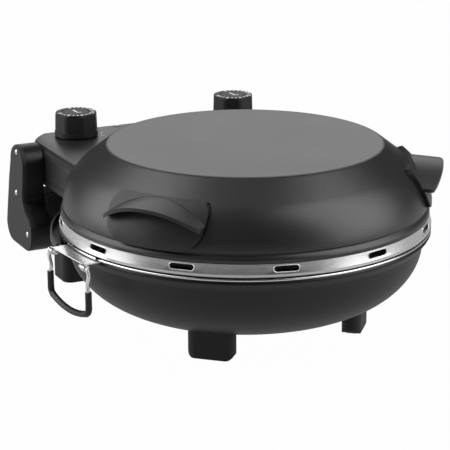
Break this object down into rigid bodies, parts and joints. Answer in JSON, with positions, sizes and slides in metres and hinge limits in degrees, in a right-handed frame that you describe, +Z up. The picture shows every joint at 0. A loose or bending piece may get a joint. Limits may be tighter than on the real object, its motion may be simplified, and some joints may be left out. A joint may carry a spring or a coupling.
{
  "type": "electric pizza maker",
  "caption": "Countertop electric pizza maker: domed hinged lid with two knobs, steel vent band, baking stone on a lift-out tray with wire bails, bowl-shaped base on feet.",
  "frame": {"origin": "on the floor, below the middle of the whole object's box", "axes": "+Z up, -Y is the front where the lid opens, +Y the hinge and the knobs, +X to the right seen from the front"},
  "size_m": [0.4212, 0.4432, 0.1906],
  "materials": {
    "shell": "satin charcoal coat on the dome and the housing",
    "bowl": "satin black-grey coat on the bowl",
    "black_plastic": "matte black heat-proof plastic",
    "arm_plastic": "matte dark grey plastic",
    "white_plastic": "matte off-white plastic",
    "band_steel": "brushed stainless steel, grain runs round the ring",
    "tray_steel": "bright plated steel",
    "reflector": "plain aluminised sheet",
    "heater": "dull sheathed heating tube",
    "zinc": "zinc-plated screws and pins",
    "screw_steel": "bright screw heads",
    "bronze": "sintered bronze bearing",
    "stone": "opaque cordierite baking stone, fine grain",
    "rubber": "matte black rubber",
    "cable": "heat-proof cable cover",
    "lens": "dark red tinted lens"
  },
  "bodies": {
    "base": {"base_bowl": "bowl", "base_pan": "reflector", "lower_element": "heater", "lower_clips": "reflector", "thermal_fuse": "reflector", "stone_tray": "tray_steel", "pizza_stone": "stone", "front_foot_left": "black_plastic", "front_foot_right": "black_plastic", "rear_leg_left": "black_plastic", "rear_leg_right": "black_plastic", "foot_pads": "rubber", "foot_screws": "zinc", "rear_tower": "bowl", "tower_cover": "black_plastic", "tower_screws": "zinc", "arm_left": "black_plastic", "arm_right": "black_plastic", "arm_cover_left": "arm_plastic", "arm_cover_right": "arm_plastic", "arm_screws": "screw_steel", "hinge_pin_left": "zinc", "hinge_pin_right": "zinc", "cord_gland": "black_plastic", "terminal_block": "white_plastic", "base_wiring": "cable", "arm_wiring": "cable"},
    "lid": {"lid_shell": "shell", "steel_band": "band_steel", "upper_reflector": "reflector", "reflector_screws": "zinc", "upper_element": "heater", "upper_clips": "reflector", "handle_left": "black_plastic", "handle_right": "black_plastic", "handle_screws": "zinc", "housing_cover": "black_plastic", "housing_screws": "zinc", "thermostat_left": "reflector", "thermostat_right": "reflector", "indicator_lens": "lens", "indicator_lamp": "white_plastic", "hinge_bush_left": "bronze", "hinge_bush_right": "bronze", "lid_wiring": "cable"},
    "knob_left": {"knob_left": "black_plastic", "thermostat_shaft_left": "zinc"},
    "knob_right": {"knob_right": "black_plastic", "thermostat_shaft_right": "zinc"},
    "bail_left": {"tray_bail_left": "tray_steel", "bail_sleeve_left": "rubber"},
    "bail_right": {"tray_bail_right": "tray_steel", "bail_sleeve_right": "rubber"}
  },
  "joints": [
    {"name": "lid_hinge", "type": "hinge", "parent": "base", "child": "lid", "pos_m": [0, 0.1735, 0.138], "axis": [-1, 0, 0], "range_deg": [0, 90]},
    {"name": "knob_left", "type": "hinge", "parent": "lid", "child": "knob_left", "pos_m": [-0.096, 0.1895, 0.157], "axis": [0, 0, -1], "range_deg": [0, 270]},
    {"name": "knob_right", "type": "hinge", "parent": "lid", "child": "knob_right", "pos_m": [0.096, 0.1895, 0.157], "axis": [0, 0, -1], "range_deg": [0, 270]},
    {"name": "bail_left", "type": "hinge", "parent": "base", "child": "bail_left", "pos_m": [-0.20248, -0.05736, 0.10205], "axis": [-0.1219, 0.9925, 0], "range_deg": [-30, 160]},
    {"name": "bail_right", "type": "hinge", "parent": "base", "child": "bail_right", "pos_m": [0.20248, -0.00764, 0.10205], "axis": [0.1219, -0.9925, 0], "range_deg": [-24, 160]}
  ]
}
